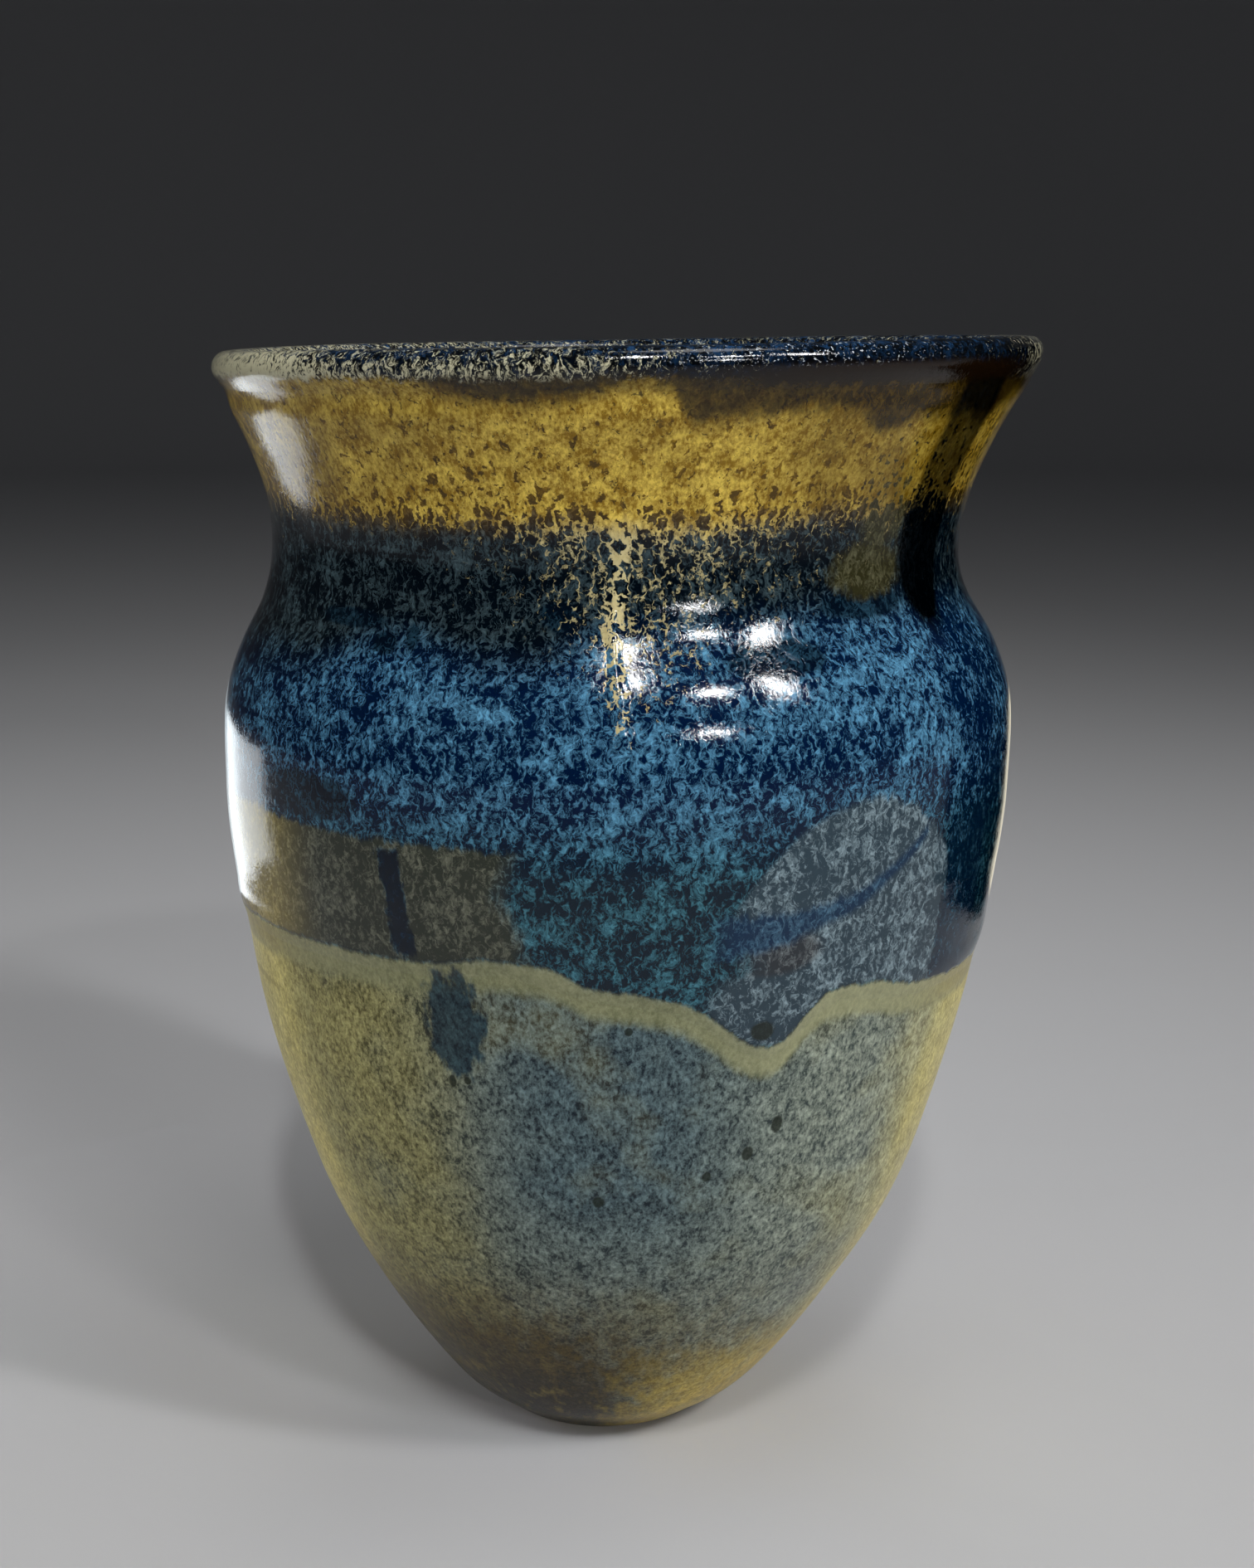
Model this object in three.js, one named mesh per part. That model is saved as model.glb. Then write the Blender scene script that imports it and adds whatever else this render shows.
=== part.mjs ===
// A thrown stoneware vase: a clay body with a narrow foot, a round shoulder, a pinched neck and a flared
// mouth, under separate coats of glaze. Millimetres, +Z up. It stands on z = 0, over the origin.
import * as THREE from "three";

// ---- Driving dimensions ----

// The clay's outside line, from the foot to just under the lip: [radius, height].
const OUTSIDE = [
  [22.6, 0],
  [29.2, 5],
  [38.3, 13],
  [53.3, 34],
  [69.4, 66],
  [80.2, 104],
  [85.8, 140],
  [86.9, 158],
  [86.5, 173],
  [83.1, 184],
  [77.2, 195],
  [74.8, 205],
  [75.7, 217],
  [79.8, 229],
  [87.2, 243],
];
const FACETS = 32; // round the vase, shared by every coat so that they nest
const RINGS_PER_SPAN = 2; // rings of facets between one point of the outside line and the next
const RING_CLEARANCE = 2.5; // least height between an end of a coat and its next ring

const WALL_AT_FOOT = 7; // thickness of the clay
const WALL_AT_TOP = 4.5;
const WALL_EVENS_OUT_AT = 70; // height where the wall has reached its upper thickness
const FLOOR_TOP = 9; // inside, on the axis
const INSIDE_STARTS_AT = 5; // height on the outside line where the inner wall meets the floor

const FOOT_RING_INNER_RADIUS = 17.5;
const FOOT_RECESS = 2.5; // how far the trimmed underside is cut up inside the foot ring
const FOOT_BEVEL = 1.2;
const INSIDE_TO = 239; // height on the outside line where the inner wall meets the lip's bead

const LIP_CENTRE = new THREE.Vector2(87, 246.4); // of the rolled bead: radius, height
const LIP_RADIUS = 2.7; // of the clay bead, without its glaze
const LIP_FACETS = 7;
const BEAD_ARC = [-35, 190]; // degrees, from the outside wall over the top to the inside wall
const BEAD_GLAZE_ARC = [-30, 185];

const COAT = 0.6; // thickness of one coat of glaze
const GAP = 0.3; // clearance between a coat and what is under it
const FIRST = GAP; // inner face of a coat on the clay, measured out from the clay
const SECOND = FIRST + COAT + GAP; // inner face of a coat on the base coat
const THIRD = SECOND + COAT + 2 * GAP; // inner face of what lies on the second coat

const BASE_FROM = 2; // bare clay shows below this height
const BLUE_FROM = 126; // mean height of the blue coat's lower edge
const BLUE_TO = 213.5;
const OCHRE_FROM = 214.2;
const OCHRE_TO = 241.5;
const LINER_TO = 238;

// The blue coat's lower edge hangs below BLUE_FROM in two slow waves and one V-shaped drip.
const SLOW_WAVE = 6;
const QUICK_WAVE = 2.5;
const QUICK_WAVE_SHIFT = 0.7; // radians
const DRIP = 13;
const DRIP_AT = 0.366; // radians to the right of the front
const DRIP_WIDTH = 0.1; // radians
const EDGE_STRAIGHT_FROM = 185; // height where the coat's rings are level again

const RUN_HALF_WIDTH = 2.6;
const RUN_THICKNESS = 1.3;
const RUN_TIP = 174;
const RUN_TOP = 213;

const LEAN = [
  [-5.2, 0],
  [-3.5, 40],
  [-2.5, 120],
  [-1.6, 180],
  [-2.3, 202],
  [-1.2, 222],
  [0.4, 250],
]; // the middle of each level: [x, height]
const MOUTH_TILT = THREE.MathUtils.degToRad(1.05); // the +X side of the lip is the higher one
const TILT_FROM = 200; // the tilt grows from this height
const TILT_TO = 245;

// ---- The wall ----

const wallLine = new THREE.SplineCurve(OUTSIDE.map(([r, z]) => new THREE.Vector2(r, z)));
const WALL_SAMPLES = 500;
const wallPoints = wallLine.getPoints(WALL_SAMPLES);
const WALL_TOP = OUTSIDE.at(-1)[1];

// The point at a height on the clay's outside line, moved out along the wall's normal.
function onWall(height, out = 0) {
  const above = wallPoints.findIndex((p) => p.y >= height);
  const i = above < 0 ? WALL_SAMPLES : Math.max(above, 1);
  const a = wallPoints[i - 1];
  const b = wallPoints[i];
  const along = b.clone().sub(a);
  const point = a.clone().addScaledVector(along, (height - a.y) / along.y);
  const normal = new THREE.Vector2(along.y, -along.x).normalize();
  return point.addScaledVector(normal, out);
}

// Heights of the rings of facets from one height to another. Between the ends every coat has the same ones.
const rings = wallLine.getPoints(RINGS_PER_SPAN * (OUTSIDE.length - 1)).map((p) => p.y);
function ringHeights(from, to) {
  const between = rings.filter((h) => h > from + RING_CLEARANCE && h < to - RING_CLEARANCE);
  return [from, ...between, to];
}

function wallThickness(height) {
  const up = THREE.MathUtils.smoothstep(height, 0, WALL_EVENS_OUT_AT);
  return THREE.MathUtils.lerp(WALL_AT_FOOT, WALL_AT_TOP, up);
}

// A line up the inside of the clay, moved further in by a depth.
function insideLine(from, to, deeper = 0) {
  return ringHeights(from, to).map((h) => onWall(h, -wallThickness(h) - deeper));
}

// An arc round the lip's bead. Angle 0 points out of the vase, 90 straight up and 180 into the mouth.
function lipArc(radius, [from, to]) {
  const points = [];
  for (let i = 0; i <= LIP_FACETS; i++) {
    const angle = THREE.MathUtils.degToRad(THREE.MathUtils.lerp(from, to, i / LIP_FACETS));
    const point = new THREE.Vector2(Math.cos(angle), Math.sin(angle));
    points.push(point.multiplyScalar(radius).add(LIP_CENTRE));
  }
  return points;
}

// ---- Turning a section into a piece ----

const leanLine = new THREE.SplineCurve(LEAN.map(([x, z]) => new THREE.Vector2(x, z)));
const leanPoints = leanLine.getPoints(WALL_SAMPLES);

function leanAt(height) {
  const above = leanPoints.findIndex((p) => p.y >= height);
  const i = above < 0 ? WALL_SAMPLES : Math.max(above, 1);
  const a = leanPoints[i - 1];
  const b = leanPoints[i];
  return THREE.MathUtils.lerp(a.x, b.x, (height - a.y) / (b.y - a.y));
}

// The pot came off the wheel a little out of true: its axis wanders in X, and its mouth tilts.
function putOutOfTrue(geometry) {
  const p = geometry.attributes.position;
  for (let i = 0; i < p.count; i++) {
    const height = p.getZ(i);
    const tilt = Math.tan(MOUTH_TILT) * THREE.MathUtils.smoothstep(height, TILT_FROM, TILT_TO);
    p.setZ(i, height + tilt * p.getX(i));
    p.setX(i, p.getX(i) + leanAt(height));
  }
  return geometry;
}

// Revolves a section of Vector2(radius, height) about Z.
function turn(section) {
  return new THREE.LatheGeometry(section, FACETS).rotateX(Math.PI / 2);
}

// Moves a turned geometry whose radius is WALL_ROOM + distance out from the wall on to the wall itself.
const WALL_ROOM = 50;
function wrapOnWall(geometry, hangAt = () => 0) {
  const p = geometry.attributes.position;
  for (let i = 0; i < p.count; i++) {
    const round = Math.atan2(p.getX(i), -p.getY(i));
    const out = Math.hypot(p.getX(i), p.getY(i)) - WALL_ROOM;
    const point = onWall(p.getZ(i) + hangAt(round, p.getZ(i)), out);
    p.setXYZ(i, Math.sin(round) * point.x, -Math.cos(round) * point.x, point.y);
  }
  return geometry;
}

// The closed section of a coat of glaze on the wall, with a blunt edge at both ends.
function coatSection(from, to, inner) {
  const heights = ringHeights(from, to);
  const line = (out) => heights.map((h) => new THREE.Vector2(WALL_ROOM + out, h));
  const edge = (h) => new THREE.Vector2(WALL_ROOM + inner + COAT / 2, h);
  const start = edge(from - COAT / 2);
  const end = edge(to + COAT / 2);
  return [start, ...line(inner + COAT), end, ...line(inner).reverse(), start.clone()];
}

// ---- The pieces ----

function clayBody() {
  const foot = [
    new THREE.Vector2(0, FOOT_RECESS),
    new THREE.Vector2(FOOT_RING_INNER_RADIUS - FOOT_BEVEL, FOOT_RECESS),
    new THREE.Vector2(FOOT_RING_INNER_RADIUS, 0),
  ];
  const outside = ringHeights(0, WALL_TOP).map((h) => onWall(h));
  outside[0].y = 0;
  const lip = lipArc(LIP_RADIUS, BEAD_ARC);
  const inside = insideLine(INSIDE_STARTS_AT, INSIDE_TO).reverse();
  return turn([...foot, ...outside, ...lip, ...inside, new THREE.Vector2(0, FLOOR_TOP)]);
}

function linerGlaze() {
  const onClay = insideLine(INSIDE_STARTS_AT, LINER_TO, GAP);
  const face = insideLine(INSIDE_STARTS_AT, LINER_TO, GAP + COAT).reverse();
  const floor = new THREE.Vector2(0, FLOOR_TOP + GAP);
  const floorFace = new THREE.Vector2(0, FLOOR_TOP + GAP + COAT);
  return turn([floor, ...onClay, ...face, floorFace]);
}

function baseGlaze() {
  return wrapOnWall(turn(coatSection(BASE_FROM, OCHRE_TO, FIRST)));
}

// How far a height on the blue coat moves, so that its lower edge hangs in waves and a drip.
function blueHang(round, height) {
  const waves = SLOW_WAVE * Math.sin(round) - QUICK_WAVE * Math.cos(2 * round + QUICK_WAVE_SHIFT);
  const drip = DRIP * Math.exp(-(((round - DRIP_AT) / DRIP_WIDTH) ** 2));
  const ease = 1 - THREE.MathUtils.smoothstep(height, BLUE_FROM, EDGE_STRAIGHT_FROM);
  return -(waves + drip) * ease;
}

function blueGlaze() {
  return wrapOnWall(turn(coatSection(BLUE_FROM, BLUE_TO, SECOND)), blueHang);
}

function ochreGlaze() {
  return wrapOnWall(turn(coatSection(OCHRE_FROM, OCHRE_TO, SECOND)));
}

function rimGlaze() {
  const face = lipArc(LIP_RADIUS + GAP + COAT, BEAD_GLAZE_ARC);
  const onClay = lipArc(LIP_RADIUS + GAP, BEAD_GLAZE_ARC).reverse();
  return turn([...face, ...onClay, face[0].clone()]);
}

// A rivulet: a long pebble shape pressed on to the wall, its flat side down.
function glazeRun() {
  const run = new THREE.SphereGeometry(1, 12, 16);
  const p = run.attributes.position;
  for (let i = 0; i < p.count; i++) {
    const height = THREE.MathUtils.lerp(RUN_TIP, RUN_TOP, (p.getY(i) + 1) / 2);
    const out = THIRD + RUN_THICKNESS * Math.max(0, p.getZ(i));
    const point = onWall(height, out);
    const round = (RUN_HALF_WIDTH * p.getX(i)) / point.x;
    p.setXYZ(i, Math.sin(round) * point.x, -Math.cos(round) * point.x, point.y);
  }
  return run;
}

// ---- The vase ----

const PIECES = [
  { name: "clay_body", make: clayBody, color: 0xb9a184, roughness: 0.9 },
  { name: "liner_glaze", make: linerGlaze, color: 0x8a6a3c, roughness: 0.2 },
  { name: "base_glaze", make: baseGlaze, color: 0x6d7d6c, roughness: 0.2 },
  { name: "blue_glaze", make: blueGlaze, color: 0x17436b, roughness: 0.12 },
  { name: "ochre_glaze", make: ochreGlaze, color: 0xa98a35, roughness: 0.15 },
  { name: "rim_glaze", make: rimGlaze, color: 0x1b2330, roughness: 0.1 },
  { name: "glaze_run", make: glazeRun, color: 0xc9b78c, roughness: 0.15 },
];

const vase = new THREE.Group();
for (const { name, make, color, roughness } of PIECES) {
  const material = new THREE.MeshStandardMaterial({ color, roughness, metalness: 0 });
  const mesh = new THREE.Mesh(putOutOfTrue(make()), material);
  mesh.name = name;
  vase.add(mesh);
}
const middle = new THREE.Box3().setFromObject(vase, true).getCenter(new THREE.Vector3());
vase.position.set(-middle.x, -middle.y, 0);

export default vase;
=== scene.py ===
"""Looks of the stoneware vase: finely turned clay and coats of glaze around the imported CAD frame."""

import math

import bpy
import numpy as np
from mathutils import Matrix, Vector


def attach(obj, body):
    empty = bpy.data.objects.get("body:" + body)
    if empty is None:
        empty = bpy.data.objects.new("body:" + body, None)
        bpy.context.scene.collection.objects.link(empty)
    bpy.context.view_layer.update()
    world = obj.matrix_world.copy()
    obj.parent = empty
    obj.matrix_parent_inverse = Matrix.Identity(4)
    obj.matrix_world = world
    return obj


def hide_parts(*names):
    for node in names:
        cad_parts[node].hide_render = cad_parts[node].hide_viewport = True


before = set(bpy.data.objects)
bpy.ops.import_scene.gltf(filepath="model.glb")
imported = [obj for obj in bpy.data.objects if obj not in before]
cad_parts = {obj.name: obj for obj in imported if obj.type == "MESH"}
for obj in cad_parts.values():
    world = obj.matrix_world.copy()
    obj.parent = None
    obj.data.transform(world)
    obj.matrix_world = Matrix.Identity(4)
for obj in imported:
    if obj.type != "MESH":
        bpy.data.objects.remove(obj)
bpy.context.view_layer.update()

MM = 0.001
SEED = 7

# ---------------------------------------------------------------------------------------------
# The vase's shape, in millimetres and degrees. 0 degrees is the front, which faces -Y, and +90 is +X.
# ---------------------------------------------------------------------------------------------

# Outside line of the bare clay, as in the CAD: (radius, height).
CLAY_LINE = [
    (22.6, 0), (29.2, 5), (38.3, 13), (53.3, 34), (69.4, 66), (80.2, 104), (85.8, 140), (86.9, 158),
    (86.5, 173), (83.1, 184), (77.2, 195), (74.8, 205), (75.7, 217), (79.8, 229), (87.2, 243),
]
# How far the middle of each level stands off the Z axis: (x, height).
LEAN_LINE = [(-5.2, 0), (-3.5, 40), (-2.5, 120), (-1.6, 180), (-2.3, 202), (-1.2, 222), (0.4, 250)]
MOUTH_TILT = math.radians(1.05)  # the +X side of the lip is the higher one
TILT_FROM, TILT_TO = 200, 245

COAT = 0.9  # one coat of glaze with the clearance under it
LIP_CENTRE = (87.0, 246.4)
LIP_RADIUS = 3.6  # glazed
WALL_AT_FOOT, WALL_AT_TOP, WALL_EVENS_OUT_AT = 7.0, 4.5, 70
FLOOR_TOP = 9.0
INSIDE_STARTS_AT = 5.0
FOOT_RING_INNER_RADIUS, FOOT_RECESS = 17.5, 2.5

BARE_CLAY_TO = 1.6  # the glaze starts here
GLAZE_DEPTH = 0.6  # of each coat's mesh, down from its surface
OCHRE_FROM = 214.0
RIM_FROM = 241.5
LINER_FROM = 262.0  # wall distance, which goes on over the lip and down into the mouth

# Lower edge of the blue coat: (degrees, height).
LAP_LINE = [
    (-180, 123), (-150, 126), (-115, 121), (-85, 128), (-50, 130), (-25, 131), (-15, 133), (-4, 128.7),
    (7, 125.5), (12, 122), (16, 117.2), (19.5, 114.2), (21.5, 113.6), (24.5, 116), (28, 121.4), (32, 124.2),
    (47, 120.5), (68, 119), (100, 125), (135, 120), (160, 125), (180, 123),
]


def spline(points, samples=40):
    """Catmull-Rom curve through points, the same as three.js's SplineCurve."""
    p = np.array(points, float)
    p = np.vstack([p[:1], p, p[-1:]])
    t = np.linspace(0, 1, samples, endpoint=False)[:, None]
    spans = []
    for a, b, c, d in zip(p, p[1:], p[2:], p[3:]):
        v0, v1 = (c - a) / 2, (d - b) / 2
        spans.append((2 * b - 2 * c + v0 + v1) * t**3 + (3 * c - 3 * b - 2 * v0 - v1) * t**2 + v0 * t + b)
    return np.vstack([*spans, p[-1:]])


def normals_of(line):
    """Unit normals on the right-hand side of a line's direction."""
    along = np.gradient(line, axis=0)
    along /= np.linalg.norm(along, axis=1, keepdims=True)
    return np.stack([along[:, 1], -along[:, 0]], 1)


def lengths_along(line):
    return np.concatenate([[0], np.cumsum(np.linalg.norm(np.diff(line, axis=0), axis=1))])


def smoothstep(x, low, high):
    t = np.clip((x - low) / (high - low), 0, 1)
    return t * t * (3 - 2 * t)


def softened(line, step, reach):
    """The line resampled at a step, with its corners rounded over a reach. Its ends stay."""
    at = lengths_along(line)
    even = np.arange(0, at[-1], step)
    line = np.stack([np.interp(even, at, line[:, i]) for i in (0, 1)], 1)
    side = int(4 * reach / step)
    weights = np.exp(-0.5 * (np.arange(-side, side + 1) * step / reach) ** 2)
    weights /= weights.sum()
    padded = np.vstack([2 * line[0] - line[side:0:-1], line, 2 * line[-1] - line[-2 : -side - 2 : -1]])
    return np.stack([np.convolve(padded[:, i], weights, "valid") for i in (0, 1)], 1)


class Section:
    """The glazed surface's section: up from the foot, over the lip, down to the middle of the floor."""

    STEP = 0.25
    ROUNDING = 1.1

    def __init__(self):
        clay = spline(CLAY_LINE)
        out = normals_of(clay)
        wall = WALL_AT_FOOT + (WALL_AT_TOP - WALL_AT_FOOT) * smoothstep(clay[:, 1], 0, WALL_EVENS_OUT_AT)
        inside = clay - out * (wall[:, None] + COAT)
        inside = inside[(clay[:, 1] > INSIDE_STARTS_AT) & (clay[:, 1] < RIM_FROM - 3)][::-1]
        outside = (clay + out * COAT)[clay[:, 1] < RIM_FROM]
        turn = np.radians(np.linspace(-35, 190, 60))
        lip = np.array(LIP_CENTRE) + LIP_RADIUS * np.stack([np.cos(turn), np.sin(turn)], 1)
        floor = [(14, FLOOR_TOP + 0.6), (0, FLOOR_TOP + COAT)]
        self.line = softened(np.vstack([outside, lip, inside, floor]), self.STEP, self.ROUNDING)
        self.out = normals_of(self.line)
        self.at = lengths_along(self.line)
        self.lip_at = self.at[np.argmax(self.line[:, 0])]
        # Wall distance: the height on the outside, then the way over the lip and down the inside.
        before = self.at <= self.lip_at
        height = self.line[:, 1]
        top = height[before][-1]
        self.wall = np.where(before, np.maximum.accumulate(height), top + self.at - self.lip_at)

    def place(self, wall, out):
        """(radius, height) of the point at a wall distance, moved off the glazed surface."""
        at = np.interp(wall, self.wall, self.at)
        r, z = (np.interp(at, self.at, self.line[:, i]) for i in (0, 1))
        nr, nz = (np.interp(at, self.at, self.out[:, i]) for i in (0, 1))
        return r + nr * out, z + nz * out


SECTION = Section()
LEAN = spline(LEAN_LINE)


def out_of_true(x, y, z):
    """The wandering axis and the tilted mouth, the same as in the CAD."""
    z_new = z + math.tan(MOUTH_TILT) * smoothstep(z, TILT_FROM, TILT_TO) * x
    return x + np.interp(z, LEAN[:, 1], LEAN[:, 0]), y, z_new


# ---------------------------------------------------------------------------------------------
# Relief of the glazed surface, in millimetres out from it.
# ---------------------------------------------------------------------------------------------

rng = np.random.default_rng(SEED)


def wave_bank(count, wall_lengths, turns, strength):
    """Parameters of faint ridges that wind round the vase: (wall length, turns, phase, height) for each."""
    return [
        (rng.uniform(*wall_lengths), rng.integers(-turns, turns + 1), rng.uniform(0, 2 * math.pi),
         strength * rng.uniform(0.5, 1))
        for _ in range(count)
    ]


THROWING_RINGS = wave_bank(7, (6, 15), 1, 0.007)
HAND_WAVES = wave_bank(9, (45, 120), 4, 0.11)


def lap_height(degrees):
    return np.interp(degrees, *np.array(LAP_LINE, float).T)


def waves(bank, degrees, wall):
    total = np.zeros(np.broadcast(degrees, wall).shape)
    for length, turns, phase, height in bank:
        total += height * np.sin(2 * math.pi * wall / length + turns * np.radians(degrees) + phase)
    return total


def relief(degrees, wall):
    rings = waves(THROWING_RINGS, degrees, wall) * smoothstep(wall, 3, 25) * (1 - smoothstep(wall, 225, 240))
    hand = waves(HAND_WAVES, degrees, wall) * smoothstep(wall, 2, 30)
    lap = lap_height(degrees)
    second_coat = (COAT - 0.1) * smoothstep(wall, lap - 4, lap + 3) * (1 - smoothstep(wall, 237, 242))
    roll = 0.3 * np.exp(-(((wall - lap + 1) / 4) ** 2))
    under_lip = 0.9 * np.exp(-(((degrees - 80) / 22) ** 2)) * np.exp(-(((wall - 241) / 3) ** 2))
    return rings + hand + second_coat + roll + under_lip


# The cream run, a rivulet that stands proud of the blue coat on the front.
RUN_TIP, RUN_TOP = 173.5, 215.0
RUN_HALF_WIDTH = 2.4
RUN_SWAY, RUN_SWAY_LENGTH = 0.6, 6.5  # from side to side, on the way up the wall
RUN_HEIGHT = 0.55
RADIUS_AT_RUN = 80

# ---------------------------------------------------------------------------------------------
# Building pieces
# ---------------------------------------------------------------------------------------------

COLUMNS = 512
ROUND = np.linspace(-180, 180, COLUMNS, endpoint=False)  # degrees of the mesh's columns


def mesh_piece(name, xyz_mm, faces, uv, smooth_angle=40):
    """A mesh object from points in mm. uv holds one (round, up) pair for each corner of each face."""
    mesh = bpy.data.meshes.new(name)
    mesh.from_pydata((np.asarray(xyz_mm) * MM).tolist(), [], faces)
    layer = mesh.uv_layers.new(name="wall")
    layer.data.foreach_set("uv", np.asarray(uv, np.float32).ravel())
    mesh.shade_smooth()
    mesh.set_sharp_from_angle(angle=math.radians(smooth_angle))
    mesh.update()
    piece = bpy.data.objects.new(name, mesh)
    bpy.context.scene.collection.objects.link(piece)
    return piece


# A UV's first number is turns from the back, and its second is the wall distance over this.
WALL_SCALE = 250.0


def turned(name, rows, closed, smooth_angle=40):
    """A piece made of rings. Each row is (wall distance, radius, height), numbers or arrays round the vase.

    closed joins the last ring to the first one. Otherwise one flat face closes each end.
    """
    turn = np.radians(ROUND)
    wall, radius, height = (np.array([np.broadcast_to(row[i], COLUMNS) for row in rows]) for i in range(3))
    x, y, z = out_of_true(radius * np.sin(turn), -radius * np.cos(turn), height)
    points = np.stack([x, y, z], -1).reshape(-1, 3)
    n = len(rows)
    i = np.arange(n if closed else n - 1)[:, None]
    j = np.arange(COLUMNS)[None, :]
    i_next, j_next = (i + 1) % n, (j + 1) % COLUMNS
    corners = [(i, j), (i, j_next), (i_next, j_next), (i_next, j)]
    faces = np.stack([a * COLUMNS + b for a, b in corners], -1).reshape(-1, 4)
    u = np.stack(np.broadcast_arrays(j, j + 1, j + 1, j), -1) / COLUMNS
    u = np.broadcast_to(u, (len(i), COLUMNS, 4))
    v = np.stack([wall[a, b] for a, b in corners], -1) / WALL_SCALE
    uv = np.stack([u, v], -1).reshape(-1, 2)
    faces = faces.tolist()
    if not closed:
        for ring, flip in ((0, True), (n - 1, False)):
            loop = list(range(ring * COLUMNS, (ring + 1) * COLUMNS))
            faces.append(loop[::-1] if flip else loop)
            loop_uv = np.stack([np.arange(COLUMNS) / COLUMNS,
                                np.full(COLUMNS, wall[ring, 0] / WALL_SCALE)], 1)
            uv = np.vstack([uv, loop_uv[::-1] if flip else loop_uv])
    return mesh_piece(name, points, faces, uv, smooth_angle)


def coat(name, low, high, step, depth):
    """A closed coat of glaze between two wall distances, which may vary round the vase."""
    low, high = (np.broadcast_to(np.asarray(edge, float), COLUMNS) for edge in (low, high))
    count = int(np.max(high - low) / step) + 1
    rows = []
    for share in np.linspace(0, 1, count):
        wall = low + (high - low) * share
        rows.append((wall, *SECTION.place(wall, relief(ROUND, wall))))
    under = max(6, count // 6)
    for share in np.linspace(1, 0, under):
        wall = low + (high - low) * share
        rows.append((wall, *SECTION.place(wall, relief(ROUND, wall) - depth)))
    return turned(name, rows, closed=True)


def clay_piece():
    """The clay from the trimmed underside of the foot, up the outside, over the lip and down to the floor."""
    trim = 0.12 * np.sin(np.radians(ROUND) * 2 + 0.6)
    foot_edge = CLAY_LINE[0][0]
    rows = [  # wall distances below 0 are under the foot
        (-6, 0.4, FOOT_RECESS + 0.25),
        (-5, 6, FOOT_RECESS + 0.3),
        (-4, FOOT_RING_INNER_RADIUS - 3.5, FOOT_RECESS + 0.1),
        (-3, FOOT_RING_INNER_RADIUS - 1.4 + trim, FOOT_RECESS - 0.3),
        (-2.6, FOOT_RING_INNER_RADIUS - 0.6 + trim, FOOT_RECESS - 1.2),
        (-2.2, FOOT_RING_INNER_RADIUS - 0.1 + trim, 0.5),
        (-2, FOOT_RING_INNER_RADIUS + 0.5 + trim, 0.02),
        (-1.6, FOOT_RING_INNER_RADIUS + 1.5, 0),
        (-1.2, foot_edge - 1.5, 0),
        (-0.8, foot_edge - 0.5, 0.02),
        (-0.4, foot_edge + 0.1, 0.35),
    ]
    for wall in (1.0, 1.6, 2.4, 4, 7, 12, *np.arange(20, 240, 8)):
        rows.append((wall, *SECTION.place(wall, relief(ROUND, wall) - COAT + 0.2)))
    for wall in np.arange(242, LINER_FROM + 1, 2.0):
        rows.append((wall, *SECTION.place(wall, -COAT)))
    last = SECTION.wall[-1]
    for wall in np.arange(LINER_FROM + 5, last - 4, 8.0):
        rows.append((wall, *SECTION.place(wall, -COAT)))
    rows.append((last, 0.4, FLOOR_TOP))
    return turned("thrown_clay", rows, closed=False)


def liner_piece():
    last = SECTION.wall[-1] - 0.4
    rows = []
    steps = np.linspace(LINER_FROM - 0.5, last, 170)
    for wall in steps:
        ridge = waves(THROWING_RINGS, ROUND, wall) * 12 * smoothstep(last - wall, 4, 30)
        rows.append((wall, *SECTION.place(wall, ridge)))
    for wall in steps[::-8]:
        rows.append((wall, *SECTION.place(wall, -GLAZE_DEPTH)))
    rows.append((steps[0], *SECTION.place(steps[0], -GLAZE_DEPTH)))
    return turned("inner_glaze", rows, closed=True)


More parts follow.
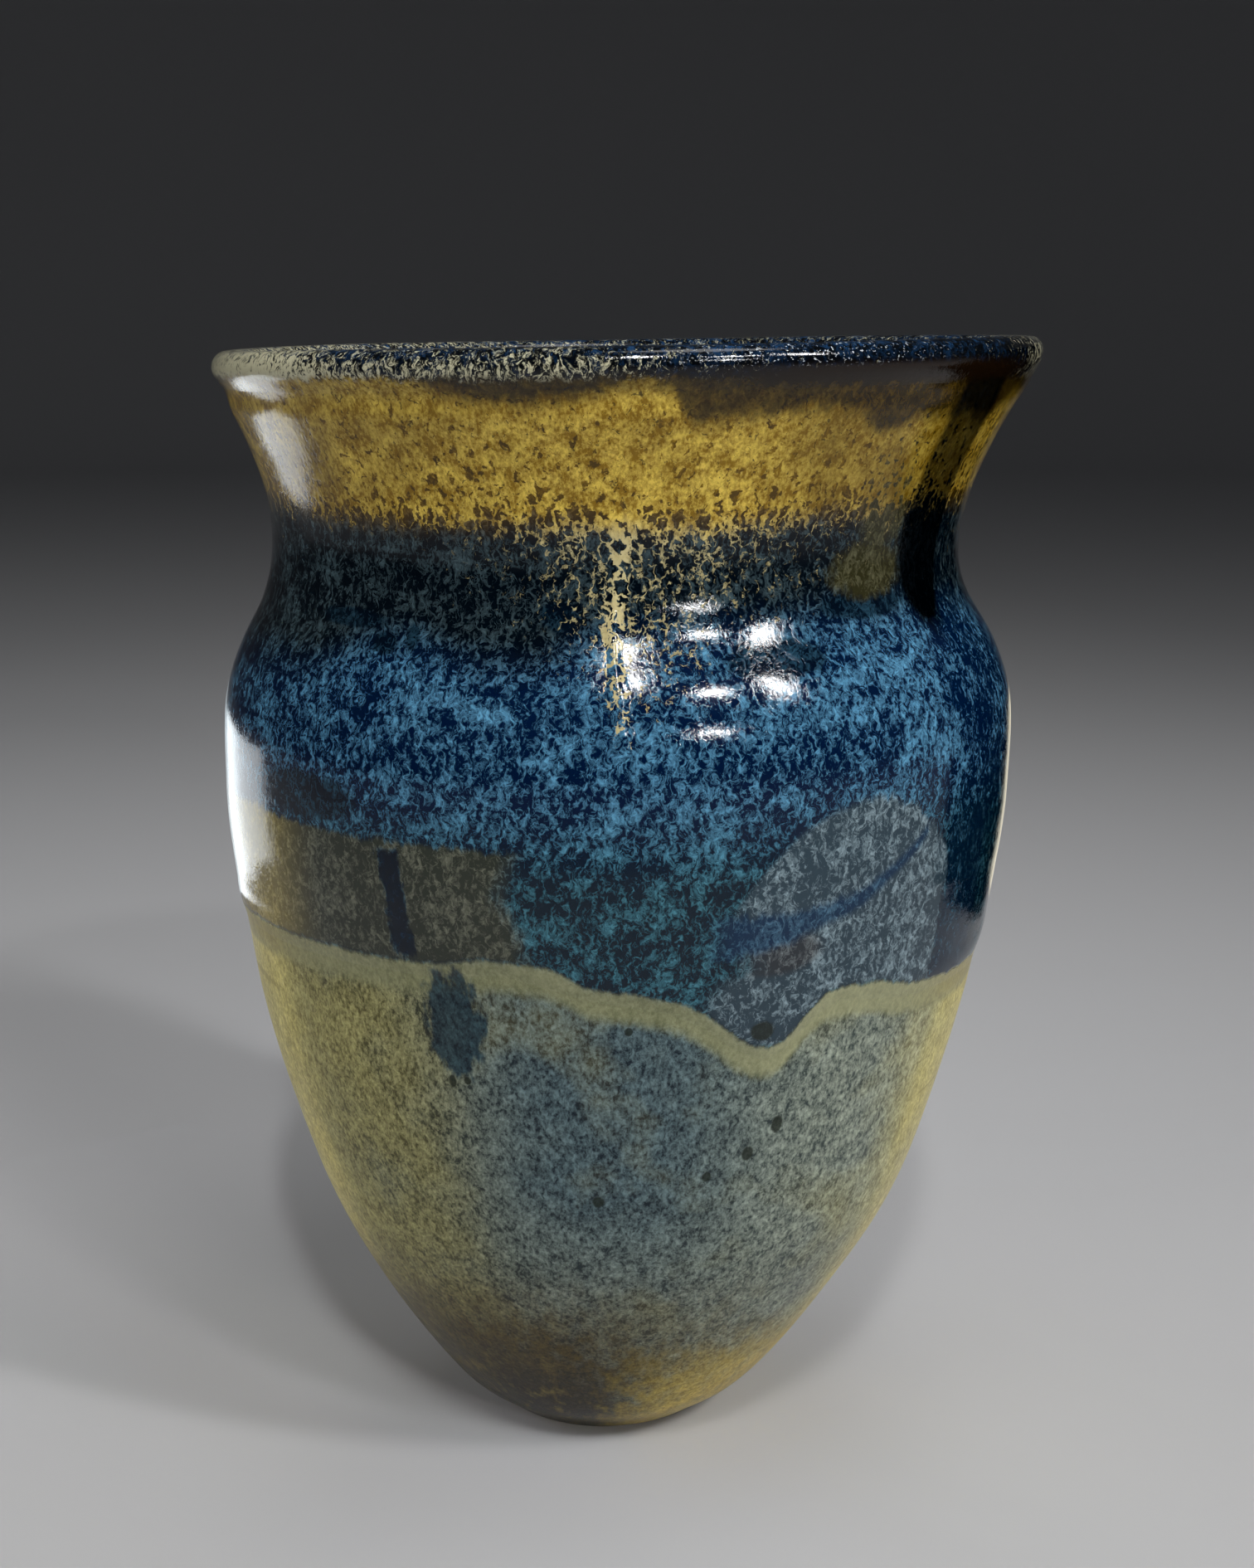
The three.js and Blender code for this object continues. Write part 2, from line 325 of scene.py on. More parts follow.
def run_piece():
    """The cream rivulet: a low ridge that lies on the blue coat and thins out to nothing at its sides."""
    columns, rows = 40, 170
    across = np.linspace(-1, 1, columns)
    points, uv = [], []
    for wall in np.linspace(RUN_TIP, RUN_TOP, rows):
        bulb = 0.35 * math.exp(-(((wall - 179) / 5) ** 2))
        width = RUN_HALF_WIDTH * (0.75 + bulb + 0.12 * math.sin(wall * 0.55))
        width *= math.sqrt(max(0.02, min(1, (wall - RUN_TIP) / 5, (RUN_TOP + 0.4 - wall) / 6)))
        side = RUN_SWAY * math.sin(wall / RUN_SWAY_LENGTH) + across * width
        crown = np.cos(across * math.pi / 2) ** 1.5 * RUN_HEIGHT
        crown = crown * smoothstep(wall, RUN_TIP - 0.5, RUN_TIP + 5)
        crown = crown * (1 - smoothstep(wall, RUN_TOP - 14, RUN_TOP))
        degrees = np.degrees(side / RADIUS_AT_RUN)
        ground = relief(degrees, np.full(columns, wall))
        for out in (ground + crown + 0.02, ground - 0.3):
            r, z = SECTION.place(np.full(columns, wall), out)
            turn = np.radians(degrees)
            points.append(np.stack(out_of_true(r * np.sin(turn), -r * np.cos(turn), z), -1))
            uv.append(np.stack([degrees / 360 + 0.5, np.full(columns, wall / WALL_SCALE)], -1))
    points = np.array(points).reshape(rows, 2, columns, 3)
    uv = np.array(uv).reshape(rows, 2, columns, 2)
    number = np.arange(rows * 2 * columns).reshape(rows, 2, columns)
    faces = []
    top, bottom = number[:, 0], number[:, 1]
    for r in range(rows - 1):
        for c in range(columns - 1):
            faces.append((top[r, c], top[r, c + 1], top[r + 1, c + 1], top[r + 1, c]))
            faces.append((bottom[r, c], bottom[r + 1, c], bottom[r + 1, c + 1], bottom[r, c + 1]))
        faces.append((top[r, 0], top[r + 1, 0], bottom[r + 1, 0], bottom[r, 0]))
        faces.append((top[r, -1], bottom[r, -1], bottom[r + 1, -1], top[r + 1, -1]))
    for c in range(columns - 1):
        faces.append((top[0, c], bottom[0, c], bottom[0, c + 1], top[0, c + 1]))
        faces.append((top[-1, c], top[-1, c + 1], bottom[-1, c + 1], bottom[-1, c]))
    faces = np.array(faces)
    return mesh_piece("cream_run", points.reshape(-1, 3), faces.tolist(), uv.reshape(-1, 2)[faces])


# ---------------------------------------------------------------------------------------------
# Material graphs
# ---------------------------------------------------------------------------------------------


def linear(rgb255):
    """A colour given as sRGB numbers from 0 to 255, in Blender's linear units."""
    c = np.array(rgb255, float) / 255
    return tuple(np.where(c <= 0.04045, c / 12.92, ((c + 0.055) / 1.055) ** 2.4)) + (1.0,)


class Field:
    """A number that varies over the surface: one output socket in a node tree, with arithmetic."""

    def __init__(self, graph, socket):
        self.graph, self.socket = graph, socket

    def __add__(self, other):
        return self.graph.math("ADD", self, other)

    __radd__ = __add__

    def __sub__(self, other):
        return self.graph.math("SUBTRACT", self, other)

    def __rsub__(self, other):
        return self.graph.math("SUBTRACT", other, self)

    def __mul__(self, other):
        return self.graph.math("MULTIPLY", self, other)

    __rmul__ = __mul__

    def __truediv__(self, other):
        return self.graph.math("DIVIDE", self, other)

    def abs(self):
        return self.graph.math("ABSOLUTE", self)

    def step(self, low, high):
        """0 at low, 1 at high, smooth between. low may be above high."""
        return self.graph.smooth(self, low, high)

    def bell(self, middle, reach):
        """1 at the middle, falling to 0 a reach away on each side."""
        return (self - middle).abs().step(reach, 0)


class Graph:
    """Adds nodes to one node tree."""

    def __init__(self, tree):
        self.tree = tree

    def node(self, kind, **settings):
        made = self.tree.nodes.new(kind)
        for name, value in settings.items():
            setattr(made, name, value)
        return made

    def feed(self, socket, value):
        if isinstance(value, Field):
            self.tree.links.new(value.socket, socket)
        else:
            socket.default_value = value

    def math(self, operation, *values, clamp=False):
        made = self.node("ShaderNodeMath", operation=operation, use_clamp=clamp)
        for socket, value in zip(made.inputs, values):
            self.feed(socket, value)
        return Field(self, made.outputs[0])

    def most(self, a, b):
        return self.math("MAXIMUM", a, b)

    def power(self, a, b):
        return self.math("POWER", a, b)

    def smooth(self, value, low, high):
        made = self.node("ShaderNodeMapRange", interpolation_type="SMOOTHSTEP")
        for name, number in (("Value", value), ("From Min", low), ("From Max", high)):
            self.feed(made.inputs[name], number)
        return Field(self, made.outputs["Result"])

    def mix(self, a, b, share):
        """Colour a where share is 0 and colour b where it is 1."""
        made = self.node("ShaderNodeMix", data_type="RGBA", clamp_factor=True)
        self.feed(made.inputs["Factor"], share)
        sockets = {socket.identifier: socket for socket in made.inputs}
        self.feed(sockets["A_Color"], a)
        self.feed(sockets["B_Color"], b)
        results = {socket.identifier: socket for socket in made.outputs}
        return Field(self, results["Result_Color"])

    def curve(self, value, points):
        """A smooth curve through (input, output) points, both of any size."""
        xs, ys = np.array(points, float).T
        x0, x1, y0, y1 = xs.min(), xs.max(), ys.min(), ys.max()
        made = self.node("ShaderNodeFloatCurve")
        line = made.mapping.curves[0].points
        for x, y in zip((xs - x0) / (x1 - x0), (ys - y0) / (y1 - y0)):
            if 0 < x < 1:
                line.new(x, y)
        line[0].location = (0, (ys[0] - y0) / (y1 - y0))
        line[len(line) - 1].location = (1, (ys[-1] - y0) / (y1 - y0))
        made.mapping.update()
        self.feed(made.inputs["Value"], (value - float(x0)) / float(x1 - x0))
        return Field(self, made.outputs[0]) * float(y1 - y0) + float(y0)

    def vector(self, operation, a, b):
        made = self.node("ShaderNodeVectorMath", operation=operation)
        for socket, value in zip(made.inputs, (a, b)):
            self.feed(socket, value)
        return Field(self, made.outputs[0])

    def noise(self, place, size, detail=2.0, roughness=0.5, distortion=0.0):
        """Noise from -0.5 to 0.5 with features about size millimetres across."""
        made = self.node("ShaderNodeTexNoise")
        self.feed(made.inputs["Vector"], place)
        made.inputs["Scale"].default_value = 1 / size
        made.inputs["Detail"].default_value = detail
        made.inputs["Roughness"].default_value = roughness
        made.inputs["Distortion"].default_value = distortion
        return Field(self, made.outputs["Fac"]) - 0.5

    def noise_vector(self, place, size, detail=2.0):
        made = self.node("ShaderNodeTexNoise")
        self.feed(made.inputs["Vector"], place)
        made.inputs["Scale"].default_value = 1 / size
        made.inputs["Detail"].default_value = detail
        return self.vector("SUBTRACT", Field(self, made.outputs["Color"]), (0.5, 0.5, 0.5))

    def cell_edges(self, place, size):
        """Distance from the border between cells, in cells: 0 on it."""
        made = self.node("ShaderNodeTexVoronoi", feature="DISTANCE_TO_EDGE")
        self.feed(made.inputs["Vector"], place)
        made.inputs["Scale"].default_value = 1 / size
        return Field(self, made.outputs["Distance"])

    def coordinates(self):
        """(place in mm, degrees round the vase, wall distance)."""
        place = self.node("ShaderNodeTexCoord").outputs["Object"]
        place = self.vector("MULTIPLY", Field(self, place), (1 / MM,) * 3)
        split = self.node("ShaderNodeSeparateXYZ")
        self.tree.links.new(self.node("ShaderNodeUVMap", uv_map="wall").outputs["UV"], split.inputs[0])
        degrees = (Field(self, split.outputs["X"]) - 0.5) * 360
        return place, degrees, Field(self, split.outputs["Y"]) * WALL_SCALE


def stretched(g, place, up):
    """Coordinates in which noise comes out longer up the wall by a factor."""
    return g.vector("MULTIPLY", place, (1, 1, 1 / up))


class Tones:
    """A dark and a light colour of one glaze. The flecks mix them."""

    def __init__(self, g, dark, light):
        self.g, self.dark, self.light = g, dark, light

    def over(self, dark, light, share):
        """These tones where share is 0 and two others where it is 1."""
        return Tones(self.g, self.g.mix(self.dark, linear(dark), share),
                     self.g.mix(self.light, linear(light), share))

    def blended(self, share):
        return self.g.mix(self.dark, self.light, share)


def ellipse(g, degrees, wall, ragged, spot):
    """1 inside a spot on the wall and 0 outside, with a soft ragged edge."""
    at_degrees, at_wall, half_degrees, half_height = spot
    across = (degrees - at_degrees) / half_degrees
    up = (wall - at_wall) / half_height
    return (g.math("ADD", across * across, up * up) + ragged * 1.6).step(1.25, 0.55)


def most_of(g, shares):
    total = shares[0]
    for share in shares[1:]:
        total = g.most(total, share)
    return total


# Spots on the wall: (degrees, wall distance, half width in degrees, half height).
PINHOLES = [
    (24.9, 94.7, 0.9, 2.1), (20.7, 88.7, 1.0, 1.7), (14.3, 84.3, 0.8, 1.3), (-2.3, 79.3, 1.1, 1.4),
    (-23.5, 105.2, 0.6, 1.5), (-21.2, 105.7, 0.6, 0.9), (1.8, 118.6, 0.6, 0.9), (20.2, 117.4, 1.7, 2.2),
    (104, 92, 1.0, 1.6), (139, 70, 1.0, 1.4), (-147, 101, 1.0, 1.8), (-102, 64, 1.0, 1.4),
]
DARK_SMEARS = [
    (-42, 196.5, 7.5, 2.0), (-34.5, 192.3, 2.4, 2.2), (-30, 194, 1.1, 2.6), (22, 190.5, 8, 4.2),
    (40, 199.3, 10, 3.0), (-45, 161.5, 10, 5.0), (-8, 199, 3, 3), (118, 188, 14, 4), (-128, 181, 15, 4),
]
PALE_CLOUDS = [
    (37, 183, 9, 7), (-22, 181, 8, 4), (-6, 175, 9, 3.5), (46, 172, 8, 6), (3, 158, 12, 5), (130, 172, 18, 8),
    (-95, 170, 14, 7), (178, 165, 16, 8),
]
BLUE_DROP_SPOT = (-22.4, 118.5, 4.8, 12.5)
DIM_SPOT = (21, 134, 7, 5)
OLIVE_SPOTS = [(41, 206, 8, 6), (43, 222, 6, 14)]
NECK_PAINTED_REFLECTION = (54.5, 8.5)  # the dark reflection painted on the right of the neck: its middle and reach in degrees


def lower_tones(g, field):
    """Slate in the middle of the front, grey-green round it, amber on the sides and brown at the foot, with
    painted shade on the left of the foot and painted light on its right.
    """
    degrees, wall, drift, slow = field["degrees"], field["wall"], field["drift"], field["slow"]
    tones = Tones(g, linear((50, 62, 60)), linear((170, 178, 160)))
    olive = g.curve(degrees, [(-180, 0.3), (-120, 0.6), (-60, 1.0), (-34, 0.9), (-14, 0.25), (10, 0.1),
                              (45, 0), (75, 0.2), (120, 0.5), (180, 0.3)])
    tones = tones.over((44, 46, 26), (168, 164, 112), olive + drift * 0.7 + slow * 0.4)
    slate = g.curve(degrees, [(-180, 0.8), (-120, 0.1), (-75, -0.1), (-36, 0), (-18, 0.7), (0, 1.05),
                              (14, 0.8), (26, 0.3), (40, 0.05), (70, -0.1), (120, 0.2), (155, 0.8),
                              (180, 0.8)])
    slate = slate * wall.step(18, 92) * (1 - wall.step(116, 138) * 0.2)
    tones = tones.over((12, 26, 36), (106, 128, 132), slate + drift * 0.5 + slow * 0.35)
    sides = g.curve(degrees, [(-180, 0), (-125, 0.1), (-88, 1), (-66, 0.95), (-54, 0.4), (-40, 0.08),
                              (-20, 0), (35, 0), (52, 0.3), (68, 0.9), (95, 1), (125, 0.1), (180, 0)])
    tones = tones.over((166, 150, 70), (240, 228, 140), sides + slow * 0.5 + drift * 0.3)
    streaks = g.noise(g.vector("MULTIPLY", field["place"], (1, 1, 0.06)), 3.4, 3, 0.6)
    # How far the foot is darkened: brown glaze, with painted shade that is heavier on the left.
    low = g.curve(degrees, [(-180, 0.6), (-80, 0.9), (-25, 1.1), (0, 0.8), (25, 0.35), (60, 0.1),
                            (120, 0.7), (180, 0.6)])
    brown = low * wall.step(66, 26) + streaks * 2.4 * wall.step(75, 20)
    tones = tones.over((40, 30, 6), (108, 92, 38), brown)
    # Painted shade: nearly black at the foot, most on the left.
    painted_foot_shade = low * wall.step(50, 10) * degrees.abs().step(180, 0)
    tones = tones.over((10, 6, 0), (40, 30, 6), painted_foot_shade + streaks * wall.step(45, 12))
    # Lighter amber on the right of the foot: partly the glaze's own amber, partly painted light.
    right_foot = degrees.step(-8, 30) * degrees.step(120, 80) * wall.step(42, 12)
    tones = tones.over((150, 126, 34), (222, 198, 100), right_foot + streaks * 1.5 * wall.step(45, 12))
    halo = (field["above"] + 3.2).abs().step(5.4, 1.4)
    pale = g.noise(field["place"], 14, 2) * 1.4 + 0.35
    tones = tones.over((104, 106, 74), (142, 144, 108), halo * 0.9)
    # The halo's pale patches, and painted light that makes it paler towards the right.
    tones = tones.over((134, 136, 104), (160, 160, 124), halo * (pale + degrees.step(8, 36) * 0.9))
    tones = tones.over((150, 132, 62), (190, 174, 92), halo * sides * 0.7)
    patch = ellipse(g, degrees, wall, field["ragged"] * 1.5, BLUE_DROP_SPOT)
    return tones.over((0, 18, 34), (34, 70, 84), patch * 0.9)


def left_taupe(d, h, above):
    """Shares of the taupe patch on the left, above the lap line, and of the dark blue streak down it."""
    top = (h - 155.5).step(0.8, -0.8)
    right = (d + 15 - (h - 147).abs() * 0.25).step(2, -2)
    left = d.step(-80, -70)
    streak_middle = h * -0.10 - 15.2
    streak = (d - streak_middle).abs().step(2.0, 1.2) * h.step(154.5, 152.5) * h.step(131, 133)
    return top * right * left * above.step(0, 1) * (1 - streak), streak


def right_grey(g, d, h, above):
    """Shares of the grey patch on the right, above the lap line, and of the blue hook in it."""
    bulge = (d - 34) * (d - 34) * 0.055
    top = (h + bulge - 163).step(1.2, -1.2)
    right = d.step(51, 49.6)
    left = (d + (h - 150) * 0.28).step(10, 16)
    drip = (d.bell(21, 13) * (h - 128).step(6, -4) * 2).step(0.2, 0.9)
    area = g.most(top * right * left, drip) * above.step(0, 1)
    hook_line = (d - 17) * (d - 17) * 0.0215 + 137.5
    half_width = g.curve(d, [(8, 5.5), (20, 3.4), (32, 1.9), (46, 1.0)])
    hook = ((h - hook_line).abs() - half_width).step(1.2, -1.2) * d.step(45.5, 44.5) * d.step(10, 16)
    return area, hook


def upper_tones(g, field):
    """Flecked blue, teal lower down, nearly black at the neck, with grey patches."""
    degrees, wall, d, h, above = (field[key] for key in ("degrees", "wall", "d", "h", "above"))
    tones = Tones(g, linear((0, 20, 34)), linear((66, 122, 138)))
    tones = tones.over((0, 18, 46), (92, 150, 184), wall.step(146, 168))
    neck = g.curve(degrees, [(-180, 196), (-110, 193), (-53, 189), (-31, 196), (-17, 192), (-5, 197),
                             (16, 200), (51, 201), (100, 194), (180, 196)])
    tones = tones.over((0, 6, 14), (66, 84, 90), (h - neck).step(-9, 3))
    smears = most_of(g, [ellipse(g, degrees, wall, field["ragged"], spot) for spot in DARK_SMEARS])
    tones = tones.over((0, 8, 20), (22, 52, 68), smears * 0.85)
    left_patch, streak = left_taupe(d, h, above)
    tones = tones.over((42, 46, 38), (112, 114, 98), left_patch)
    tones = tones.over((126, 112, 52), (196, 178, 104), left_patch * degrees.step(-42, -60))
    tones = tones.over((0, 10, 24), (6, 34, 54), streak * above.step(0, 2))
    right_patch, hook = right_grey(g, d, h, above)
    tones = tones.over((40, 56, 66), (140, 160, 168), right_patch)
    dim = right_patch * ellipse(g, degrees, wall, 0, DIM_SPOT) * 0.7
    tones = tones.over((38, 36, 38), (96, 94, 90), dim)
    side_strip = d.step(49.5, 51.5) * d.step(64, 60) * h.step(158, 152)
    tones = tones.over((2, 22, 42), (48, 82, 102), side_strip * 0.8)
    return tones.over((2, 34, 62), (60, 102, 128), hook * 0.9)


def under_lip_edge(g, degrees):
    """Height above which brown shade is painted on the ochre under the lip."""
    return g.curve(degrees, [(-180, 239), (-100, 236), (-60, 244), (-34, 245), (-24, 241), (-8, 238.5),
                             (0, 242), (6, 240), (10, 234.5), (15, 236), (30, 236), (36, 232), (43, 235),
                             (52, 235), (58, 234), (66, 238), (100, 237), (180, 239)])


def painted_under_lip_shade(g, field):
    """1 where brown shade is painted on the ochre under the lip."""
    return (field["h"] - under_lip_edge(g, field["degrees"]) + field["patchy"] * 5).step(-2.2, 3.0)


def flare_tones(g, field, tones):
    """Ochre under the lip, brown shade painted under it, a dark reflection painted on the right of the neck,
    and olive patches on the right.
    """
    degrees, wall, h = field["degrees"], field["wall"], field["h"]
    tones = tones.over((70, 50, 2), (132, 100, 16), g.smooth(h, 213, 222))
    patches = field["patchy"]
    bright = (degrees.bell(14, 50) * 0.8 + patches * 2.5) * g.smooth(h, 220, 228)
    tones = tones.over((96, 70, 4), (160, 126, 24), bright)
    # Brown shade painted under the lip.
    tones = tones.over((20, 12, 2), (74, 56, 18), painted_under_lip_shade(g, field) * 0.95)
    # A dark window reflection painted on the right of the neck.
    painted_window_reflection = degrees.bell(*NECK_PAINTED_REFLECTION) * h.bell(221, 36)
    tones = tones.over((0, 1, 2), (8, 14, 18), (painted_window_reflection * 4).step(0.2, 0.8))
    olive = most_of(g, [ellipse(g, degrees, wall, field["ragged"], spot) for spot in OLIVE_SPOTS])
    return tones.over((44, 42, 22), (90, 86, 56), olive * (painted_window_reflection * 4).step(0.8, 0.2) * 0.85)


def network(g, field):
    """Share and colour of the squiggly strands: cream over the blue, closing up into the ochre."""
    degrees, wall, h = field["degrees"], field["wall"], field["h"]
    shiver = g.vector("MULTIPLY", g.noise_vector(field["place"], 0.9, 1), (1.5, 1.5, 2))
    tight = g.vector("ADD", field["curled"], shiver)
    cells = g.cell_edges(stretched(g, tight, 1.8), 2.4)
    breaks = g.noise(stretched(g, field["place"], 1.5), 1.5, 3, 0.7)
    spread = g.curve(degrees, [(-180, 0.4), (-90, 0.5), (-54, 0.1), (-40, 0.0), (-25, 0.3), (-12, 0.7),
                               (3, 1.0), (18, 0.8), (32, 0.5), (42, 0.35), (52, 0.1), (68, 0.3),
                               (120, 0.6), (180, 0.4)])
    cover = g.curve(h, [(168, -0.4), (178, -0.24), (188, -0.12), (197, -0.03), (205, 0.04), (211, 0.1),
                        (217, 0.22), (222, 0.38), (227, 0.5), (234, 0.56), (260, 0.6)])
    middle = g.math("SINE", wall / RUN_SWAY_LENGTH) * 0.45
    run = (degrees - middle).abs().step(2.4, 0.6) * wall.step(172, 177)
    fan = degrees.bell(3, 14) * h.bell(188, 22)
    low = 1 - g.smooth(h, 213, 223)
    cover = cover - (1 - spread) * low * 0.26 + fan * 0.14 + run * 0.18
    share = (cover - cells * 1.7 + breaks * 0.9).step(-0.07, 0.1)
    pale = g.mix(linear((56, 62, 54)), linear((190, 178, 132)), spread * 0.6 + field["grain"] * 3 + run * 0.6)
    pale = g.mix(pale, linear((150, 126, 66)), breaks * 1.3 + 0.05)
    ochre = g.mix(linear((130, 98, 8)), linear((226, 196, 84)),
                  field["grain"] * 3.2 + field["patchy"] * 2.2 + 0.42)
    shade = g.curve(degrees, [(-180, 0.3), (-75, 0.2), (-58, 0.5), (-30, 0.1), (0, 0.0), (22, 0.25),
                              (36, 0.6), (60, 0.5), (90, 0.2), (180, 0.3)])
    ochre = g.mix(ochre, linear((86, 64, 10)), shade + field["drift"] * 1.2)
    return share, g.mix(pale, ochre, g.smooth(h, 212, 220))


def rim_colour(g, field):
    """Black and blue over the lip, with cream strokes drawn across it."""
    degrees, wall, place = field["degrees"], field["wall"], field["place"]
    strokes = g.noise(g.vector("MULTIPLY", field["curled"], (1, 1, 0.35)), 0.85, 4, 0.75)
    cream = g.curve(degrees, [(-180, 0.0), (-95, 0.1), (-66, 0.14), (-44, 0.07), (-30, 0.0), (-12, 0.01),
                              (2, -0.03), (14, -0.08), (40, -0.1), (62, -0.03), (80, 0.06), (120, 0),
                              (180, 0.0)])
    crest = g.smooth(wall, 246, 252)
    colour = g.mix(linear((2, 4, 7)), linear((26, 60, 96)), field["fleck"] * (0.35 + crest * 0.9))
    fringe = wall.bell(245.5, 4) * degrees.step(30, -25) * 0.07
    colour = g.mix(colour, linear((190, 186, 156)), (strokes + cream + fringe).step(0.03, 0.16) * 0.9)
    # Painted highlights: white glints on the right of the lip.
    painted_glint = g.noise(stretched(g, place, 0.7), 0.7, 2, 0.6).step(0.1, 0.2)
    painted_glint = painted_glint * degrees.bell(22, 26) * wall.step(244.5, 247)
    colour = g.mix(colour, linear((220, 226, 230)), painted_glint * 0.8)
    # Brown shade painted under the lip bead, on the right.
    brown = degrees.bell(38, 42) * wall.step(247, 243.5) * 1.8
    return g.mix(colour, linear((24, 13, 4)), brown)


def glaze_group():
    """A node group that paints the whole outside. Every outer coat uses it, so that borders don't show."""
    tree = bpy.data.node_groups.new("glaze_field", "ShaderNodeTree")
    for name, kind in (("Color", "NodeSocketColor"), ("Roughness", "NodeSocketFloat"),
                       ("Height", "NodeSocketFloat")):
        tree.interface.new_socket(name, in_out="OUTPUT", socket_type=kind)
    g = Graph(tree)
    place, degrees, wall = g.coordinates()

    field = {"place": place, "degrees": degrees, "wall": wall}
    field["slow"] = g.noise(place, 30, 2)
    field["drift"] = g.noise(place, 12, 3)
    field["patchy"] = patchy = g.noise(place, 4.5, 3, 0.6)
    field["ragged"] = ragged = g.noise(stretched(g, place, 2.4), 2.4, 4, 0.65)
    swirl = g.noise_vector(place, 2.6, 2)
    field["curled"] = curled = g.vector("ADD", place, g.vector("MULTIPLY", swirl, (4.2, 4.2, 5.5)))
    field["grain"] = grain = g.noise(stretched(g, place, 1.6), 0.8, 4, 0.7)
    fibre = g.noise(stretched(g, curled, 1.8), 1.25, 4, 0.7)
    threads = g.noise(stretched(g, curled, 1.6), 1.6, 1, 0.5).abs().step(0.07, 0.0)
    field["h"] = wall + field["slow"] * 6 + ragged * 5
    field["d"] = degrees + ragged * 4
    lap = g.curve(degrees, LAP_LINE)
    field["above"] = above = wall - lap + ragged * 2.4
    clouds = most_of(g, [ellipse(g, degrees, wall, ragged, spot) for spot in PALE_CLOUDS])
    rings = g.noise(g.vector("MULTIPLY", place, (0.05, 0.05, 1)), 2.6, 3, 0.6)
    ring_lines = rings.step(0.08, 0.2)

    upper_fleck = fibre * 3.0 + threads * 0.3 + patchy * 1.2 + field["drift"] * 0.7 + clouds * 0.14 + 0.06
    upper_fleck = upper_fleck - ring_lines * 0.25 * degrees.step(10, -20)
    lower_fleck = fibre * 2.0 + grain * 2.0 + patchy * 0.9 + 0.4
    lower_fleck = lower_fleck - ring_lines * degrees.abs().step(40, 64) * 0.5
    # Painted shade: the blue made darker round 60 degrees, on the right of the shoulder.
    upper_fleck = upper_fleck - degrees.bell(60, 14) * 0.22
    field["fleck"] = fleck = g.math("ADD", upper_fleck, 0.0, clamp=True)

    body = lower_tones(g, field).blended(g.math("ADD", lower_fleck, 0.0, clamp=True))
    body = g.mix(body, linear((30, 24, 8)), (wall + ragged * 0.6).step(2.8, 1.4) * 0.7)
    upper = flare_tones(g, field, upper_tones(g, field)).blended(fleck)
    strands, strand_colour = network(g, field)
    # No strands show through the reflection painted on the neck.
    under_painted_reflection = degrees.bell(*NECK_PAINTED_REFLECTION).step(0.1, 0.4) * 0.8
    # Nor through the brown shade painted under the lip.
    painted_lip_shade = painted_under_lip_shade(g, field)
    upper = g.mix(upper, strand_colour, strands * (1 - under_painted_reflection) * (1 - painted_lip_shade * 0.95))
    specks = g.noise(stretched(g, curled, 1.4), 1.1, 2, 0.6).step(0.13, 0.2)
    upper = g.mix(upper, linear((30, 22, 4)), specks * wall.step(216, 224) * 0.75)
    rim_from = degrees.step(0, 25) * -2.0 + 244.2
    upper = g.mix(upper, rim_colour(g, field), (wall + ragged * 4 - rim_from).step(-0.9, 0.9))
    colour = g.mix(body, upper, above.step(-0.7, 0.7))
    pits = most_of(g, [ellipse(g, degrees, wall, ragged, spot) for spot in PINHOLES])
    colour = g.mix(colour, linear((22, 28, 18)), pits * 0.85)

    satin = above.step(0.5, -0.5)
    roughness = grain.abs() * 0.2 + 0.045 + satin * 0.24 + pits * 0.3
    height = fleck * 0.2 + grain * 0.3 + patchy * 0.6 + strands * above.step(0, 5) * 0.12 - pits * 0.8
    out = g.node("NodeGroupOutput")
    for name, value in (("Color", colour), ("Roughness", roughness), ("Height", height)):
        g.feed(out.inputs[name], value)
    return tree


SATIN_REFLECTION, GLOSSY_REFLECTION = 0.2, 0.36  # the shader's Specular IOR Level
GLAZE_BUMP, CLAY_BUMP = 0.3 * MM, 0.4 * MM
FOOT_OFF_AXIS = -LEAN_LINE[0][0]


def new_material(name):
    """(material, graph of its node tree, its shader)."""
    material = bpy.data.materials.new(name)
    material.use_nodes = True
    return material, Graph(material.node_tree), material.node_tree.nodes["Principled BSDF"]


def glaze_material(name, group, reflects):
    """A glaze painted by the shared group, whose surface reflects by a set amount."""
    material, g, shader = new_material(name)
    field = g.node("ShaderNodeGroup", node_tree=group)
    bump = g.node("ShaderNodeBump")
    bump.inputs["Distance"].default_value = GLAZE_BUMP
    bump.inputs["Strength"].default_value = 0.22
    links = material.node_tree.links
    links.new(field.outputs["Color"], shader.inputs["Base Color"])
    links.new(field.outputs["Roughness"], shader.inputs["Roughness"])
    links.new(field.outputs["Height"], bump.inputs["Height"])
    links.new(bump.outputs["Normal"], shader.inputs["Normal"])
    shader.inputs["IOR"].default_value = 1.5
    shader.inputs["Specular IOR Level"].default_value = reflects
    return material


